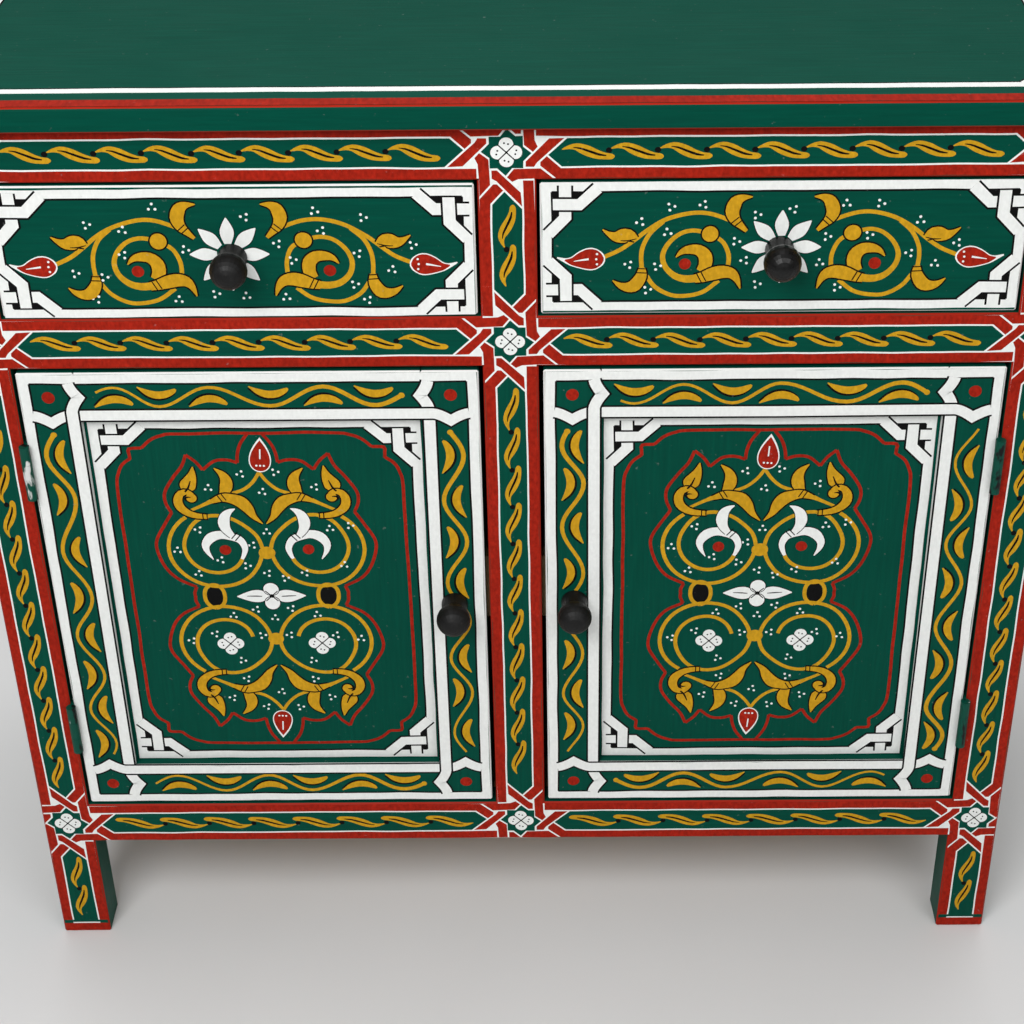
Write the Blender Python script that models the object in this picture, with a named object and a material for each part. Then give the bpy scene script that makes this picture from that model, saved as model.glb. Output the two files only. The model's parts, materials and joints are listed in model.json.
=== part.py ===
"""Painted dresser: two drawers over a two-door cupboard, joined like real cabinet work.

Metres, +Z up, the front towards -Y. The origin is on the floor, under the middle of the whole piece.
"""
import math

import bmesh
import bpy
from mathutils import Vector

# Carcass sizes
FRAME_WIDTH = 0.840
FRAME_DEPTH = 0.380
FOOT_HEIGHT = 0.110
DOOR_OPENING_HEIGHT = 0.434
DRAWER_OPENING_HEIGHT = 0.109
LEG_WIDTH = 0.042
LEG_DEPTH = 0.034
RAIL_HEIGHT = 0.042
RAIL_DEPTH = 0.022
MULLION_WIDTH = 0.042
TOP_THICKNESS = 0.020
TOP_OVERHANG = 0.014

# Side and back sizes
SIDE_INSET = 0.002
SIDE_RAIL_THICKNESS = 0.022
SIDE_PANEL_THICKNESS = 0.006
BACK_PANEL_THICKNESS = 0.006
BACK_PANEL_INSET = 0.008
BACK_RAIL_GAP = 0.004

# Cupboard and drawer-carrying sizes
FLOOR_THICKNESS = 0.012
FLOOR_DROP = 0.002
SHELF_THICKNESS = 0.016
SHELF_HEIGHT = 0.205
SHELF_SETBACK = 0.011
CLEAT_WIDTH = 0.016
CLEAT_HEIGHT = 0.022
CLEAT_SETBACK = 0.004
RUNNER_WIDTH = 0.022
RUNNER_HEIGHT = 0.024
RUNNER_LEDGE = 0.018
RUNNER_SHOULDER = 0.006
GUIDE_HEIGHT = 0.014
STOP_OVERLAP = 0.010
STOP_THICKNESS = 0.014
STOP_HEIGHT = 0.060

# Drawer sizes
DRAWER_FRONT_THICKNESS = 0.018
DRAWER_REAR_CLEARANCE = 0.026
DRAWER_SIDE_THICKNESS = 0.010
DRAWER_BACK_THICKNESS = 0.010
DRAWER_BOTTOM_THICKNESS = 0.005
DRAWER_BOTTOM_RISE = 0.009
DRAWER_SIDE_DROP = 0.010
DRAWER_BACK_DROP = 0.008
DRAWER_LAP = 0.010
DRAWER_GROOVE = 0.004
DRAWER_BACK_SETBACK = 0.012
DRAWER_SIDE_GAP = 0.0025
DRAWER_TOP_GAP = 0.0025
DRAWER_BOTTOM_GAP = 0.0020

# Door sizes
DOOR_THICKNESS = 0.020
DOOR_STILE_WIDTH = 0.044
DOOR_RAIL_HEIGHT = 0.042
DOOR_PANEL_THICKNESS = 0.007
DOOR_PANEL_RECESS = 0.008
DOOR_GAP = 0.0035

# Hinge sizes
HINGE_LENGTH = 0.048
HINGE_SPACING = 0.256
LEAF_THICKNESS = 0.0010
LEAF_DEPTH = 0.015
LEAF_GAP = 0.0004
KNUCKLE_RADIUS = 0.0040
KNUCKLE_STANDOFF = 0.0005
PIN_RADIUS = 0.0015

# Knob sizes
KNOB_PROJECTION = 0.036
KNOB_HEAD_RADIUS = 0.0138
KNOB_HEAD_HALF_DEPTH = 0.0130
KNOB_FOOT_RADIUS = 0.0108
KNOB_WAIST_RADIUS = 0.0096
SPIGOT_RADIUS = 0.005
SPIGOT_LENGTH = 0.012

# How far each hand-set knob is from the middle of its drawer front or stile, across and up
KNOB_OFFSETS = {
    "left_drawer": (-0.0013, -0.0043),
    "right_drawer": (-0.0020, -0.0011),
    "left_door": (-0.0034, -0.0026),
    "right_door": (0.0012, -0.0008),
}

# Joinery sizes and clearances
FIT = 0.0003
TENON_LENGTH = 0.018
STUB_LENGTH = 0.012
TENON_CHEEK = 0.006
MIDDLE_CHEEK = 0.004
PANEL_TONGUE = 0.008
TONGUE_CLEAR = 0.002
HOUSING_WALL = 0.001
ROOT = 0.002
EASE = 0.0012
TOP_EASE = 0.003
TOP_EASE_STEPS = 3
ROUND_SIDES = 24
PIN_SIDES = 16
HEAD_STEPS = 10
NECK_STEPS = 4
SMOOTH_ANGLE = math.radians(40)
MERGE_DISTANCE = 1e-6

# Places worked out from the sizes above
X, Y, Z = range(3)
HANDS = {"left": -1, "right": 1}
FRONT_REACH = max(KNOB_PROJECTION, TOP_OVERHANG)
FRONT = (FRONT_REACH - FRAME_DEPTH) / 2
BACK = FRONT + FRAME_DEPTH
HALF_WIDTH = FRAME_WIDTH / 2
LEG_INNER = HALF_WIDTH - LEG_WIDTH
HALF_MULLION = MULLION_WIDTH / 2
BOTTOM_RAIL_Z = (FOOT_HEIGHT, FOOT_HEIGHT + RAIL_HEIGHT)
DOOR_OPENING_Z = (BOTTOM_RAIL_Z[1], BOTTOM_RAIL_Z[1] + DOOR_OPENING_HEIGHT)
MIDDLE_RAIL_Z = (DOOR_OPENING_Z[1], DOOR_OPENING_Z[1] + RAIL_HEIGHT)
DRAWER_OPENING_Z = (MIDDLE_RAIL_Z[1], MIDDLE_RAIL_Z[1] + DRAWER_OPENING_HEIGHT)
TOP_RAIL_Z = (DRAWER_OPENING_Z[1], DRAWER_OPENING_Z[1] + RAIL_HEIGHT)
LEVELS = {"top": TOP_RAIL_Z, "middle": MIDDLE_RAIL_Z, "bottom": BOTTOM_RAIL_Z}
LEG_TOP = TOP_RAIL_Z[1]
RAIL_BACK = FRONT + RAIL_DEPTH
TENON_SHOULDER = PANEL_TONGUE + TONGUE_CLEAR
HOUSING = TENON_CHEEK - HOUSING_WALL
SIDE_RAIL_OUTER = HALF_WIDTH - SIDE_INSET
SIDE_RAIL_INNER = SIDE_RAIL_OUTER - SIDE_RAIL_THICKNESS
REAR_INNER = BACK - LEG_DEPTH
PANEL_Z = (BOTTOM_RAIL_Z[1] - PANEL_TONGUE, TOP_RAIL_Z[0] + PANEL_TONGUE)
BACK_PANEL_Y = (BACK - BACK_PANEL_INSET - BACK_PANEL_THICKNESS, BACK - BACK_PANEL_INSET)
INSIDE_BACK = BACK_PANEL_Y[0] - BACK_RAIL_GAP
FLOOR_TOP = BOTTOM_RAIL_Z[1] - FLOOR_DROP
RUNNER_TOP = MIDDLE_RAIL_Z[1]
HINGE_GAP = 2 * LEAF_THICKNESS + LEAF_GAP + 2 * FIT
HINGE_X = LEG_INNER - HINGE_GAP / 2
HINGE_Y = FRONT - KNUCKLE_RADIUS - KNUCKLE_STANDOFF
DOOR_Z = (DOOR_OPENING_Z[0] + DOOR_GAP, DOOR_OPENING_Z[1] - DOOR_GAP)
DOOR_MIDDLE = sum(DOOR_Z) / 2
DOOR_SPAN = (HALF_MULLION + DOOR_GAP, LEG_INNER - HINGE_GAP)
DRAWER_SPAN = (HALF_MULLION + DRAWER_SIDE_GAP, LEG_INNER - DRAWER_SIDE_GAP)
DRAWER_Z = (DRAWER_OPENING_Z[0] + DRAWER_BOTTOM_GAP, DRAWER_OPENING_Z[1] - DRAWER_TOP_GAP)
DRAWER_REAR = REAR_INNER - DRAWER_REAR_CLEARANCE

# Colour, roughness and metallic value of each finish
FINISHES = {
    "green_paint": ((0.012, 0.070, 0.046, 1.0), 0.45, 0.0),
    "bare_wood": ((0.420, 0.270, 0.150, 1.0), 0.70, 0.0),
    "black_lacquer": ((0.010, 0.010, 0.011, 1.0), 0.40, 0.0),
    "painted_steel": ((0.030, 0.100, 0.070, 1.0), 0.50, 0.3),
}


class Block:
    """An upright block given by its span along each axis."""

    def __init__(self, x_span, y_span, z_span):
        self.spans = [tuple(sorted(span)) for span in (x_span, y_span, z_span)]

    def centre(self):
        return Vector([sum(span) / 2 for span in self.spans])

    def size(self):
        return Vector([span[1] - span[0] for span in self.spans])

    def grown(self, amount):
        return Block(*[(low - amount, high + amount) for low, high in self.spans])

    def tenon(self, axis, end, length, shoulders):
        """The tongue that continues one end of the block, stepped in by a shoulder on the other axes."""
        spans = [(low + step, high - step) for (low, high), step in zip(self.spans, shoulders)]
        low, high = self.spans[axis]
        spans[axis] = (high - ROOT, high + length) if end > 0 else (low - length, low + ROOT)
        return Block(*spans)


def handed(hand, inner, outer):
    """The X span between two distances from the middle, on the left or the right."""
    return sorted((hand * inner, hand * outer))


def finish_material(name):
    material = bpy.data.materials.get(name)
    if material is None:
        colour, roughness, metallic = FINISHES[name]
        material = bpy.data.materials.new(name)
        material.use_nodes = True
        shader = material.node_tree.nodes["Principled BSDF"]
        shader.inputs["Base Color"].default_value = colour
        shader.inputs["Roughness"].default_value = roughness
        shader.inputs["Metallic"].default_value = metallic
        material.diffuse_color = colour
    return material


def new_object(name, form, location, finish=None):
    mesh = bpy.data.meshes.new(name)
    form.to_mesh(mesh)
    form.free()
    piece = bpy.data.objects.new(name, mesh)
    piece.location = location
    bpy.context.collection.objects.link(piece)
    if finish:
        mesh.materials.append(finish_material(finish))
    return piece


def board(name, block, finish=None, eased="", ease=EASE, segments=1):
    """A block whose edges along the named axes are eased."""
    form = bmesh.new()
    bmesh.ops.create_cube(form, size=1.0)
    bmesh.ops.scale(form, vec=block.size(), verts=form.verts)
    axes = ["XYZ".index(letter) for letter in eased]
    edges = []
    for edge in form.edges:
        run = edge.verts[1].co - edge.verts[0].co
        if max(range(3), key=lambda axis: abs(run[axis])) in axes:
            edges.append(edge)
    if edges:
        bmesh.ops.bevel(form, geom=edges, offset=ease, segments=segments, profile=0.5, affect="EDGES")
    return new_object(name, form, block.centre(), finish)


def turned(name, profile, axis, sides, location, finish=None):
    """A closed solid of revolution from (radius, height) points, its height along the axis."""
    axis = Vector(axis)
    across = axis.orthogonal().normalized()
    form = bmesh.new()
    points = [form.verts.new(across * radius + axis * height) for radius, height in profile]
    chain = [form.edges.new(pair) for pair in zip(points, points[1:])]
    bmesh.ops.spin(form, geom=points + chain, cent=(0, 0, 0), axis=axis, angle=2 * math.pi, steps=sides)
    bmesh.ops.remove_doubles(form, verts=form.verts, dist=MERGE_DISTANCE)
    bmesh.ops.recalc_face_normals(form, faces=form.faces)
    piece = new_object(name, form, location, finish)
    piece.data.shade_smooth()
    piece.data.set_sharp_from_angle(angle=SMOOTH_ANGLE)
    return piece


def rod(radius, z_span, sides, location):
    """A plain upright round bar, used to build and to bore the hinges."""
    low, high = z_span
    profile = [(0, low), (radius, low), (radius, high), (0, high)]
    return turned("rod", profile, (0, 0, 1), sides, location)


def combine(piece, tools, operation):
    """Joins tool bodies to a piece, or cuts them from it, and keeps the result as its mesh."""
    for tool in tools:
        modifier = piece.modifiers.new(tool.name, "BOOLEAN")
        modifier.operation = operation
        modifier.solver = "EXACT"
        modifier.object = tool
    bpy.context.view_layer.update()
    graph = bpy.context.evaluated_depsgraph_get()
    result = bpy.data.meshes.new_from_object(piece.evaluated_get(graph))
    before = piece.data
    piece.modifiers.clear()
    piece.data = result
    bpy.data.meshes.remove(before)
    result.name = piece.name
    for tool in tools:
        bpy.data.objects.remove(tool)


def add(piece, blocks):
    combine(piece, [board("tool", block) for block in blocks], "UNION")


def house(piece, blocks):
    """Cuts the seats for blocks of other pieces, each with the joint clearance."""
    combine(piece, [board("tool", block.grown(FIT)) for block in blocks], "DIFFERENCE")


def carrier(name, location):
    """An empty that a moving group hangs on."""
    empty = bpy.data.objects.new(name, None)
    empty.location = location
    bpy.context.collection.objects.link(empty)
    return empty


def hang(pieces, empty):
    for piece in pieces:
        piece.parent = empty
        piece.location = piece.location - empty.location


def rail_block(x_span, y_span, z_span, axis):
    """The block of a rail or mullion between its supports, with the joint clearance at both ends."""
    spans = [x_span, y_span, z_span]
    low, high = sorted(spans[axis])
    spans[axis] = (low + FIT, high - FIT)
    return Block(*spans)


def tenons(block, axis, length, shoulders):
    return [block.tenon(axis, end, length, shoulders) for end in (-1, 1)]


def tenoned(name, block, tongues, axis, finish):
    """A rail with its tenons, its long edges eased."""
    piece = board(name, block, finish, eased="XYZ"[axis])
    add(piece, tongues)
    return piece


def front_rails():
    """Each rail of the face frame with the tenons that enter the legs."""
    rails = {}
    for level, z_span in LEVELS.items():
        block = rail_block((-LEG_INNER, LEG_INNER), (FRONT, RAIL_BACK), z_span, X)
        rails[level] = (block, tenons(block, X, TENON_LENGTH, (0, TENON_CHEEK, TENON_SHOULDER)))
    return rails


def mullions():
    """The two uprights of the face frame with the stub tenons that enter the rails."""
    uprights = {}
    for name, z_span in {"upper_mullion": DRAWER_OPENING_Z, "lower_mullion": DOOR_OPENING_Z}.items():
        block = rail_block((-HALF_MULLION, HALF_MULLION), (FRONT, RAIL_BACK), z_span, Z)
        uprights[name] = (block, tenons(block, Z, STUB_LENGTH, (TENON_SHOULDER, TENON_CHEEK, 0)))
    return uprights


def rear_rails():
    """The rails between the rear legs; the middle one stands clear of the back panel and carries runners."""
    rails = {}
    for level, z_span in LEVELS.items():
        y_span = (REAR_INNER, INSIDE_BACK) if level == "middle" else (BACK - RAIL_DEPTH, BACK)
        cheek = MIDDLE_CHEEK if level == "middle" else TENON_CHEEK
        block = rail_block((-LEG_INNER, LEG_INNER), y_span, z_span, X)
        rails[level] = (block, tenons(block, X, TENON_LENGTH, (0, cheek, TENON_SHOULDER)))
    return rails


def side_rails(hand):
    """The upper and lower rails of one side with the tenons that enter its legs."""
    rails = {}
    x_span = handed(hand, SIDE_RAIL_INNER, SIDE_RAIL_OUTER)
    for level in ("top", "bottom"):
        block = rail_block(x_span, (FRONT + LEG_DEPTH, REAR_INNER), LEVELS[level], Y)
        rails[level] = (block, tenons(block, Y, STUB_LENGTH, (TENON_CHEEK, 0, TENON_SHOULDER)))
    return rails


def runners():
    """The drawer runners: one under each outer drawer side and a wider one, with a guide, in the middle."""
    z_span = (RUNNER_TOP - RUNNER_HEIGHT, RUNNER_TOP)
    spans = {"centre": (-HALF_MULLION - RUNNER_LEDGE, HALF_MULLION + RUNNER_LEDGE)}
    for side, hand in HANDS.items():
        spans[side] = handed(hand, LEG_INNER - RUNNER_WIDTH, LEG_INNER - FIT)
    parts = {}
    for place, x_span in spans.items():
        block = rail_block(x_span, (RAIL_BACK, REAR_INNER), z_span, Y)
        parts[place] = (block, tenons(block, Y, HOUSING, (RUNNER_SHOULDER, 0, RUNNER_SHOULDER)))
    return parts


def all_tongues(parts):
    return [tongue for _, tongues in parts.values() for tongue in tongues]


def side_panel(hand):
    middle = (SIDE_RAIL_INNER + SIDE_RAIL_OUTER) / 2
    x_span = handed(hand, middle - SIDE_PANEL_THICKNESS / 2, middle + SIDE_PANEL_THICKNESS / 2)
    return Block(x_span, (FRONT + LEG_DEPTH - PANEL_TONGUE, REAR_INNER + PANEL_TONGUE), PANEL_Z)


def back_panel():
    return Block((-LEG_INNER - PANEL_TONGUE, LEG_INNER + PANEL_TONGUE), BACK_PANEL_Y, PANEL_Z)


def floor_block():
    reach = SIDE_RAIL_INNER + HOUSING
    y_span = (RAIL_BACK - HOUSING, BACK - RAIL_DEPTH + HOUSING)
    return Block((-reach, reach), y_span, (FLOOR_TOP - FLOOR_THICKNESS, FLOOR_TOP))


def legs(hand):
    x_span = handed(hand, LEG_INNER, HALF_WIDTH)
    return {
        "front": Block(x_span, (FRONT, FRONT + LEG_DEPTH), (0, LEG_TOP)),
        "rear": Block(x_span, (REAR_INNER, BACK), (0, LEG_TOP)),
    }


def build_face_frame():
    """Rails and mullions of the front, with the seats for the floor and the drawer runners."""
    uprights = mullions()
    for name, (block, tongues) in uprights.items():
        tenoned(name, block, tongues, Z, "green_paint")
    extra_seats = {"top": [], "middle": all_tongues(runners()), "bottom": [floor_block()]}
    for level, (block, tongues) in front_rails().items():
        rail = tenoned(f"{level}_rail", block, tongues, X, "green_paint")
        house(rail, all_tongues(uprights) + extra_seats[level])


def build_side(side, hand):
    """Two legs, two rails and a floating panel."""
    panel = side_panel(hand)
    rails = side_rails(hand)
    board(f"{side}_side_panel", panel, "green_paint")
    for level, (block, tongues) in rails.items():
        rail = tenoned(f"{side}_side_{level}_rail", block, tongues, Y, "green_paint")
        house(rail, [panel] + ([floor_block()] if level == "bottom" else []))
    seats = {
        "front": all_tongues(front_rails()),
        "rear": all_tongues(rear_rails()) + [back_panel()],
    }
    for place, block in legs(hand).items():
        leg = board(f"{side}_{place}_leg", block, "green_paint", eased="XYZ")
        house(leg, all_tongues(rails) + [panel] + seats[place])


def build_back():
    """Rear rails and the panel in their grooves."""
    board("back_panel", back_panel(), "bare_wood")
    extra_seats = {
        "top": [back_panel()],
        "middle": all_tongues(runners()),
        "bottom": [back_panel(), floor_block()],
    }
    for level, (block, tongues) in rear_rails().items():
        rail = tenoned(f"rear_{level}_rail", block, tongues, X, "bare_wood")
        house(rail, extra_seats[level])


def build_top():
    reach = HALF_WIDTH + TOP_OVERHANG
    z_span = (LEG_TOP + FIT, LEG_TOP + FIT + TOP_THICKNESS)
    top = Block((-reach, reach), (FRONT - TOP_OVERHANG, BACK), z_span)
    board("top_board", top, "green_paint", eased="XYZ", ease=TOP_EASE, segments=TOP_EASE_STEPS)


def build_inside():
    """Cupboard floor, drawer runners, shelf on its cleats, and the stop that the closed doors meet."""
    floor = board("cupboard_floor", floor_block(), "bare_wood")
    house(floor, [leg for hand in HANDS.values() for leg in legs(hand).values()])

    for place, (block, tongues) in runners().items():
        runner = board(f"{place}_drawer_runner", block, "bare_wood")
        add(runner, tongues)
        if place == "centre":
            guide_y = (RAIL_BACK + 2 * FIT, REAR_INNER - 2 * FIT)
            guide_z = (RUNNER_TOP - ROOT, RUNNER_TOP + GUIDE_HEIGHT)
            add(runner, [Block((-HALF_MULLION, HALF_MULLION), guide_y, guide_z)])

    shelf_z = (FLOOR_TOP + SHELF_HEIGHT, FLOOR_TOP + SHELF_HEIGHT + SHELF_THICKNESS)
    shelf_y = (FRONT + DOOR_THICKNESS + STOP_THICKNESS + SHELF_SETBACK, INSIDE_BACK)
    shelf = Block((-LEG_INNER + FIT, LEG_INNER - FIT), shelf_y, shelf_z)
    board("shelf", shelf, "bare_wood", eased="X")
    cleat_z = (shelf_z[0] - FIT - CLEAT_HEIGHT, shelf_z[0] - FIT)
    cleat_y = (FRONT + DOOR_THICKNESS + CLEAT_SETBACK, INSIDE_BACK)
    for side, hand in HANDS.items():
        cleat_x = handed(hand, LEG_INNER - CLEAT_WIDTH, LEG_INNER - FIT)
        board(f"{side}_shelf_cleat", Block(cleat_x, cleat_y, cleat_z), "bare_wood", eased="Y")

    reach = HALF_MULLION + DOOR_GAP + STOP_OVERLAP
    stop_y = FRONT + DOOR_THICKNESS + FIT
    stop_z = (DOOR_MIDDLE - STOP_HEIGHT / 2, DOOR_MIDDLE + STOP_HEIGHT / 2)
    stop = board("door_stop", Block((-reach, reach), (stop_y, stop_y + STOP_THICKNESS), stop_z), "bare_wood")
    house(stop, [mullions()["lower_mullion"][0]])


def knob_profile():
    """Spigot, flared foot, waist and round head as (radius, distance out of the front face)."""
    head_middle = KNOB_PROJECTION - KNOB_HEAD_HALF_DEPTH
    start = math.asin(KNOB_WAIST_RADIUS / KNOB_HEAD_RADIUS)
    waist_out = head_middle - KNOB_HEAD_HALF_DEPTH * math.cos(start)
    profile = [(0, -SPIGOT_LENGTH), (SPIGOT_RADIUS, -SPIGOT_LENGTH), (SPIGOT_RADIUS, FIT)]
    for step in range(NECK_STEPS):
        share = step / NECK_STEPS
        swell = (1 + math.cos(math.pi * share)) / 2
        radius = KNOB_WAIST_RADIUS + (KNOB_FOOT_RADIUS - KNOB_WAIST_RADIUS) * swell
        profile.append((radius, FIT + (waist_out - FIT) * share))
    for step in range(HEAD_STEPS + 1):
        angle = start + (math.pi - start) * step / HEAD_STEPS
        radius = KNOB_HEAD_RADIUS * math.sin(angle) if step < HEAD_STEPS else 0
        profile.append((radius, head_middle - KNOB_HEAD_HALF_DEPTH * math.cos(angle)))
    return profile


def add_knob(body, x, z, carrier_piece):
    """A turned knob whose spigot sits in a bore of the drawer front or door stile."""
    across, up = KNOB_OFFSETS[body]
    seat = (x + across, FRONT, z + up)
    depth = SPIGOT_LENGTH + FIT
    bore_radius = SPIGOT_RADIUS + FIT
    bore_profile = [(0, -depth), (bore_radius, -depth), (bore_radius, ROOT), (0, ROOT)]
    bore = turned("bore", bore_profile, (0, -1, 0), ROUND_SIDES, seat)
    combine(carrier_piece, [bore], "DIFFERENCE")
    return turned(f"{body}_knob", knob_profile(), (0, -1, 0), ROUND_SIDES, seat, "black_lacquer")


def build_drawer(side, hand):
    """A drawer box with lapped corners, a grooved-in bottom and an inset front with its knob."""
    x_span = handed(hand, *DRAWER_SPAN)
    middle = sum(x_span) / 2
    front_y = (FRONT, FRONT + DRAWER_FRONT_THICKNESS)
    lap_y = FRONT + DRAWER_FRONT_THICKNESS - DRAWER_LAP
    side_z = (RUNNER_TOP + FIT, DRAWER_Z[1] - DRAWER_SIDE_DROP)
    bottom_z = (side_z[0] + DRAWER_BOTTOM_RISE, side_z[0] + DRAWER_BOTTOM_RISE + DRAWER_BOTTOM_THICKNESS)
    inside = (x_span[0] + DRAWER_SIDE_THICKNESS, x_span[1] - DRAWER_SIDE_THICKNESS)
    housed = (inside[0] - DRAWER_GROOVE, inside[1] + DRAWER_GROOVE)
    bottom_front = FRONT + DRAWER_FRONT_THICKNESS - DRAWER_GROOVE

    sides = {
        "left": Block((x_span[0], inside[0]), (lap_y, DRAWER_REAR), side_z),
        "right": Block((inside[1], x_span[1]), (lap_y, DRAWER_REAR), side_z),
    }
    bottom = Block(housed, (bottom_front, DRAWER_REAR), bottom_z)
    back_rear = DRAWER_REAR - DRAWER_BACK_SETBACK
    back_y = (back_rear - DRAWER_BACK_THICKNESS, back_rear)
    back = Block(housed, back_y, (bottom_z[1] + FIT, side_z[1] - DRAWER_BACK_DROP))

    front = board(f"{side}_drawer_front", Block(x_span, front_y, DRAWER_Z), "green_paint", eased="XYZ")
    house(front, list(sides.values()))
    house(front, [bottom])
    pieces = [front, board(f"{side}_drawer_bottom", bottom, "bare_wood"),
              board(f"{side}_drawer_back", back, "bare_wood")]
    for place, block in sides.items():
        cheek = board(f"{side}_drawer_{place}_side", block, "bare_wood")
        house(cheek, [bottom])
        house(cheek, [back])
        pieces.append(cheek)
    pieces.append(add_knob(f"{side}_drawer", middle, sum(DRAWER_Z) / 2, front))
    hang(pieces, carrier(f"{side}_drawer_slide", (middle, FRONT, RUNNER_TOP)))


def build_hinge(side, hand, place, z):
    """A barrel hinge: a leaf on the leg with two knuckles and the pin, a leaf on the door with the third."""
    centre = (hand * HINGE_X, HINGE_Y, z)
    half = HINGE_LENGTH / 2
    middle = HINGE_LENGTH / 6
    leaf_y = (HINGE_Y + KNUCKLE_RADIUS + FIT, HINGE_Y + KNUCKLE_RADIUS + FIT + LEAF_DEPTH)
    neck_y = (HINGE_Y + (PIN_RADIUS + KNUCKLE_RADIUS) / 2, leaf_y[0] + ROOT)
    leg_x = handed(hand, LEG_INNER - FIT - LEAF_THICKNESS, LEG_INNER - FIT)
    door_x = handed(hand, LEG_INNER - HINGE_GAP + FIT, LEG_INNER - HINGE_GAP + FIT + LEAF_THICKNESS)
    outer = ((-half, -middle - FIT), (middle + FIT, half))
    inner = (-middle, middle)
    pin_end = half - ROOT

    frame_leaf = board(f"{side}_{place}_hinge_frame_leaf", Block(leg_x, leaf_y, (z - half, z + half)),
                       "painted_steel")
    add(frame_leaf, [Block(leg_x, neck_y, (z + low + FIT, z + high - FIT)) for low, high in outer])
    combine(frame_leaf, [rod(KNUCKLE_RADIUS, span, PIN_SIDES, centre) for span in outer], "UNION")
    combine(frame_leaf, [rod(PIN_RADIUS, (-pin_end, pin_end), PIN_SIDES, centre)], "UNION")

    door_leaf = board(f"{side}_{place}_hinge_door_leaf", Block(door_x, leaf_y, (z - half, z + half)),
                      "painted_steel")
    add(door_leaf, [Block(door_x, neck_y, (z + inner[0] + FIT, z + inner[1] - FIT))])
    combine(door_leaf, [rod(KNUCKLE_RADIUS, inner, PIN_SIDES, centre)], "UNION")
    combine(door_leaf, [rod(PIN_RADIUS + FIT, (-half, half), PIN_SIDES, centre)], "DIFFERENCE")
    for leaf in (frame_leaf, door_leaf):
        leaf.data.set_sharp_from_angle(angle=SMOOTH_ANGLE)
    return door_leaf


def build_door(side, hand):
    """A frame-and-panel door: tenoned rails, a recessed floating panel, a knob and two hinges."""
    y_span = (FRONT, FRONT + DOOR_THICKNESS)
    near, far = DOOR_SPAN
    stiles = {
        "meeting_stile": Block(handed(hand, near, near + DOOR_STILE_WIDTH), y_span, DOOR_Z),
        "hinge_stile": Block(handed(hand, far - DOOR_STILE_WIDTH, far), y_span, DOOR_Z),
    }
    sight_x = handed(hand, near + DOOR_STILE_WIDTH, far - DOOR_STILE_WIDTH)
    sight_z = (DOOR_Z[0] + DOOR_RAIL_HEIGHT, DOOR_Z[1] - DOOR_RAIL_HEIGHT)
    panel_y = (FRONT + DOOR_PANEL_RECESS, FRONT + DOOR_PANEL_RECESS + DOOR_PANEL_THICKNESS)
    panel = Block((sight_x[0] - PANEL_TONGUE, sight_x[1] + PANEL_TONGUE), panel_y,
                  (sight_z[0] - PANEL_TONGUE, sight_z[1] + PANEL_TONGUE))
    pieces = [board(f"{side}_door_panel", panel, "green_paint")]
    seats = []
    for place, z_span in {"top": (sight_z[1], DOOR_Z[1]), "bottom": (DOOR_Z[0], sight_z[0])}.items():
        block = rail_block(sight_x, y_span, z_span, X)
        tongues = tenons(block, X, TENON_LENGTH, (0, TENON_CHEEK, TENON_SHOULDER))
        rail = tenoned(f"{side}_door_{place}_rail", block, tongues, X, "green_paint")
        house(rail, [panel])
        pieces.append(rail)
        seats += tongues
    for place, block in stiles.items():
        stile = board(f"{side}_door_{place}", block, "green_paint", eased="XYZ")
        house(stile, seats)
        house(stile, [panel])
        if place == "meeting_stile":
            pieces.append(add_knob(f"{side}_door", block.centre()[X], DOOR_MIDDLE, stile))
        pieces.append(stile)
    for place, offset in {"upper": HINGE_SPACING / 2, "lower": -HINGE_SPACING / 2}.items():
        pieces.append(build_hinge(side, hand, place, DOOR_MIDDLE + offset))
    hang(pieces, carrier(f"{side}_door_axis", (hand * HINGE_X, HINGE_Y, DOOR_MIDDLE)))


def main():
    for item in list(bpy.data.objects):
        bpy.data.objects.remove(item)
    build_face_frame()
    build_back()
    build_top()
    build_inside()
    for side, hand in HANDS.items():
        build_side(side, hand)
        build_drawer(side, hand)
        build_door(side, hand)


main()
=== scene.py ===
"""Looks of the painted dresser: wood, paint, hand-drawn ornament, light and camera.

The ornament is laid on flat faces as thin closed layers of paint. Its sizes are in millimetres.
"""
import functools
import itertools
import json
import math

import bmesh
import bpy
from mathutils import Matrix, Vector, noise


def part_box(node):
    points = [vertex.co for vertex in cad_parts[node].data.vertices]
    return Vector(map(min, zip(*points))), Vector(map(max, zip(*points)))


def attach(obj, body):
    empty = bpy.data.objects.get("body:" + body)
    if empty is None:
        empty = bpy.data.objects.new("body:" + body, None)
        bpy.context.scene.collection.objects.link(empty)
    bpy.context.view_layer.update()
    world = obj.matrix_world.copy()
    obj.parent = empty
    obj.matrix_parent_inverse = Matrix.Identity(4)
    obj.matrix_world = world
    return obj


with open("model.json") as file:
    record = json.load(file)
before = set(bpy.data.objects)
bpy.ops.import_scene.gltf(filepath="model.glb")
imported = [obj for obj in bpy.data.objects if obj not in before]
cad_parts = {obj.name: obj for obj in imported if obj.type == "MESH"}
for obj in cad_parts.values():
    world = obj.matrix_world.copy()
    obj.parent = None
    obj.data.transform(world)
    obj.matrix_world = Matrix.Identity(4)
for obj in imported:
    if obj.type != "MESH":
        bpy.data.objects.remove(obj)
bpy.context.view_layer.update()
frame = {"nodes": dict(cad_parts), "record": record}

# One millimetre, in the metres of the frame
MM = 0.001

# Thickness of paint; strokes of one coat differ a little, so none lie in one plane
FIRST_COAT = 0.05
COAT_STEP = 0.03
STROKE_SPREAD = 0.02
GOLDEN = 0.618
SINK = 0.05

# The eased edges of the wood, which the ornament stops short of
EASED_EDGE = 1.3

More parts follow.
